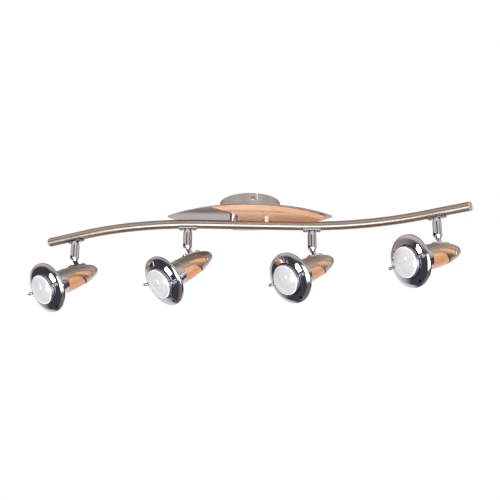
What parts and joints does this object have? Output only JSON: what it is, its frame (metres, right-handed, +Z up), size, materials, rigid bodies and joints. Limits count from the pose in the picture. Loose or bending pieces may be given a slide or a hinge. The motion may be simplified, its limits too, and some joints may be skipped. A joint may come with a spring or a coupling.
{
  "type": "track lighting fixture",
  "caption": "S-curved ceiling light bar on a round canopy with metal and wooden leaves, carrying swivelling bullet spots with wood inlays and reflector lamps.",
  "frame": {"origin": "on the ceiling plane, midway between the two ceiling screw slots of the bracket", "axes": "+Z up to the ceiling, +X along the bar, -Y to the room side that the heads face"},
  "size_m": [0.7195, 0.2194, 0.1782],
  "materials": {
    "satin_nickel": "satin nickel plate",
    "satin_canopy": "satin nickel, spun",
    "chrome": "polished chrome plate",
    "dark_chrome": "dark chrome plate",
    "zinc_steel": "zinc plate",
    "brass": "turned",
    "beech": "clear lacquer",
    "frosted_glass": "frosted inside",
    "plug_plastic": "moulded",
    "terminal_plastic": "moulded",
    "cable_sheath": "PVC sheath",
    "holder_plastic": "moulded"
  },
  "bodies": {
    "bar": {"ceiling_bracket": "zinc_steel", "canopy": "satin_canopy", "canopy_screws": "zinc_steel", "terminal_block": "terminal_plastic", "leaf_plate": "satin_nickel", "wood_leaf": "beech", "leaf_screws": "zinc_steel", "post_left": "chrome", "post_right": "chrome", "post_nipples": "brass", "post_nuts": "brass", "tube": "satin_nickel", "end_plugs": "plug_plastic", "tube_cable": "cable_sheath", "saddles": "chrome", "saddle_screws": "zinc_steel"},
    "swivel_1": {"stem_1": "chrome", "pivot_pin_1": "zinc_steel"},
    "head_1": {"knuckle_1": "dark_chrome", "plate_screws_1": "dark_chrome", "shell_1": "satin_nickel", "wood_core_1": "beech", "cup_1": "chrome", "ring_1": "chrome", "thumb_screws_1": "chrome", "lamp_holder_1": "holder_plastic", "bulb_1": "frosted_glass"},
    "swivel_2": {"stem_2": "chrome", "pivot_pin_2": "zinc_steel"},
    "head_2": {"knuckle_2": "dark_chrome", "plate_screws_2": "dark_chrome", "shell_2": "satin_nickel", "wood_core_2": "beech", "cup_2": "chrome", "ring_2": "chrome", "thumb_screws_2": "chrome", "lamp_holder_2": "holder_plastic", "bulb_2": "frosted_glass"},
    "swivel_3": {"stem_3": "chrome", "pivot_pin_3": "zinc_steel"},
    "head_3": {"knuckle_3": "dark_chrome", "plate_screws_3": "dark_chrome", "shell_3": "satin_nickel", "wood_core_3": "beech", "cup_3": "chrome", "ring_3": "chrome", "thumb_screws_3": "chrome", "lamp_holder_3": "holder_plastic", "bulb_3": "frosted_glass"},
    "swivel_4": {"stem_4": "chrome", "pivot_pin_4": "zinc_steel"},
    "head_4": {"knuckle_4": "dark_chrome", "plate_screws_4": "dark_chrome", "shell_4": "satin_nickel", "wood_core_4": "beech", "cup_4": "chrome", "ring_4": "chrome", "thumb_screws_4": "chrome", "lamp_holder_4": "holder_plastic", "bulb_4": "frosted_glass"}
  },
  "joints": [
    {"name": "pan_1", "type": "hinge", "parent": "bar", "child": "swivel_1", "pos_m": [-0.29784, 0.05642, -0.0771], "axis": [0, 0, 1], "range_deg": [-119.6, 210.4]},
    {"name": "tilt_1", "type": "hinge", "parent": "swivel_1", "child": "head_1", "pos_m": [-0.29784, 0.05642, -0.0771], "axis": [0.7022, -0.712, 0], "range_deg": [-34.5, 30.5]},
    {"name": "pan_2", "type": "hinge", "parent": "bar", "child": "swivel_2", "pos_m": [-0.10239, -0.00447, -0.0771], "axis": [0, 0, 1], "range_deg": [-112.1, 217.9]},
    {"name": "tilt_2", "type": "hinge", "parent": "swivel_2", "child": "head_2", "pos_m": [-0.10239, -0.00447, -0.0771], "axis": [0.6032, -0.7976, 0], "range_deg": [-40.2, 24.8]},
    {"name": "pan_3", "type": "hinge", "parent": "bar", "child": "swivel_3", "pos_m": [0.10239, 0.00447, -0.0771], "axis": [0, 0, 1], "range_deg": [-115.5, 214.5]},
    {"name": "tilt_3", "type": "hinge", "parent": "swivel_3", "child": "head_3", "pos_m": [0.10239, 0.00447, -0.0771], "axis": [0.6494, -0.7604, 0], "range_deg": [-33.5, 31.5]},
    {"name": "pan_4", "type": "hinge", "parent": "bar", "child": "swivel_4", "pos_m": [0.29784, -0.05642, -0.0771], "axis": [0, 0, 1], "range_deg": [-106.4, 223.6]},
    {"name": "tilt_4", "type": "hinge", "parent": "swivel_4", "child": "head_4", "pos_m": [0.29784, -0.05642, -0.0771], "axis": [0.521, -0.8536, 0], "range_deg": [-24.3, 40.7]}
  ]
}
